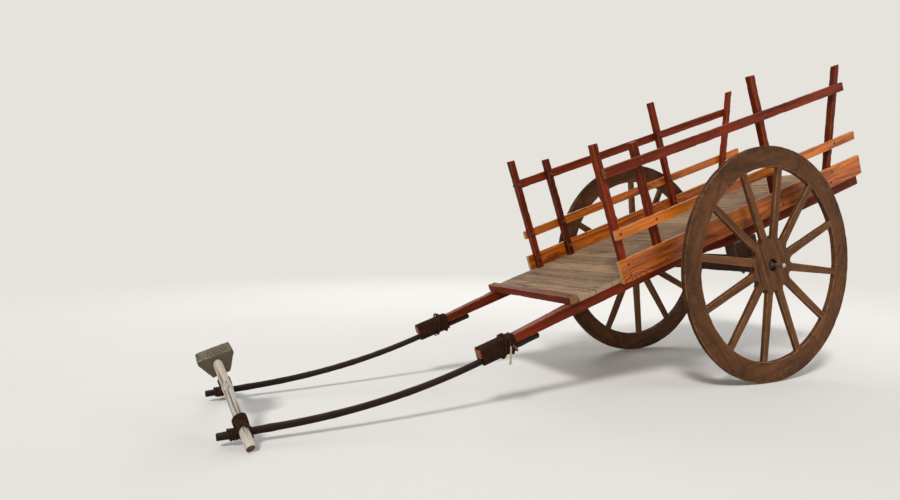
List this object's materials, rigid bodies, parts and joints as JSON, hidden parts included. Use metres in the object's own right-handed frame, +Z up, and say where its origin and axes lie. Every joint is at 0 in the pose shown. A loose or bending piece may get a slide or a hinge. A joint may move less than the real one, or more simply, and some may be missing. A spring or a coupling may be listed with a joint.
{
  "type": "bullock cart",
  "caption": "Two-wheeled wooden ox cart with spoked wheels, planked bed, staked rails, lashed curved poles and a neck yoke, parked on its yoke.",
  "frame": {"origin": "centre of the bounding box on the floor under the parked cart", "axes": "+X forward to the yoke, +Y to the cart's left, +Z up from the floor"},
  "size_m": [4.4712, 1.428, 2.1523],
  "materials": {
    "wheel_wood": "matte",
    "varnished_wood": "gloss",
    "red_wood": "satin",
    "dark_wood": "satin",
    "board_wood": "matte",
    "pole_wood": "satin",
    "peeled_wood": "matte",
    "crown_wood": "matte",
    "rope": "matte",
    "iron": "matte"
  },
  "bodies": {
    "cart": {"axle_bar": "iron", "axle_beam": "dark_wood", "axle_collars": "iron", "axle_linchpins": "iron", "axle_washers": "iron", "cross_bearers": "dark_wood", "deck_boards": "board_wood", "front_cross_beam": "red_wood", "left_bolster": "dark_wood", "left_narrow_rail": "varnished_wood", "left_pole": "pole_wood", "left_shaft": "red_wood", "left_shaft_lashing": "rope", "left_side_plank": "varnished_wood", "left_stakes": "red_wood", "left_top_rail": "red_wood", "left_yoke_leg": "peeled_wood", "right_bolster": "dark_wood", "right_narrow_rail": "varnished_wood", "right_pole": "pole_wood", "right_shaft": "red_wood", "right_shaft_lashing": "rope", "right_side_plank": "varnished_wood", "right_stakes": "red_wood", "right_top_rail": "red_wood", "right_yoke_leg": "peeled_wood", "yoke_crown": "crown_wood", "yoke_lashings": "rope"},
    "left_wheel": {"left_wheel_bush": "iron", "left_wheel_felloes": "wheel_wood", "left_wheel_hub": "wheel_wood", "left_wheel_spokes": "wheel_wood"},
    "right_wheel": {"right_wheel_bush": "iron", "right_wheel_felloes": "wheel_wood", "right_wheel_hub": "wheel_wood", "right_wheel_spokes": "wheel_wood"}
  },
  "joints": [
    {"name": "left_wheel_spin", "type": "hinge", "parent": "cart", "child": "left_wheel", "pos_m": [-1.1131, 0.62, 0.75], "axis": [0, 1, 0], "continuous": true},
    {"name": "right_wheel_spin", "type": "hinge", "parent": "cart", "child": "right_wheel", "pos_m": [-1.1131, -0.62, 0.75], "axis": [0, 1, 0], "continuous": true}
  ]
}
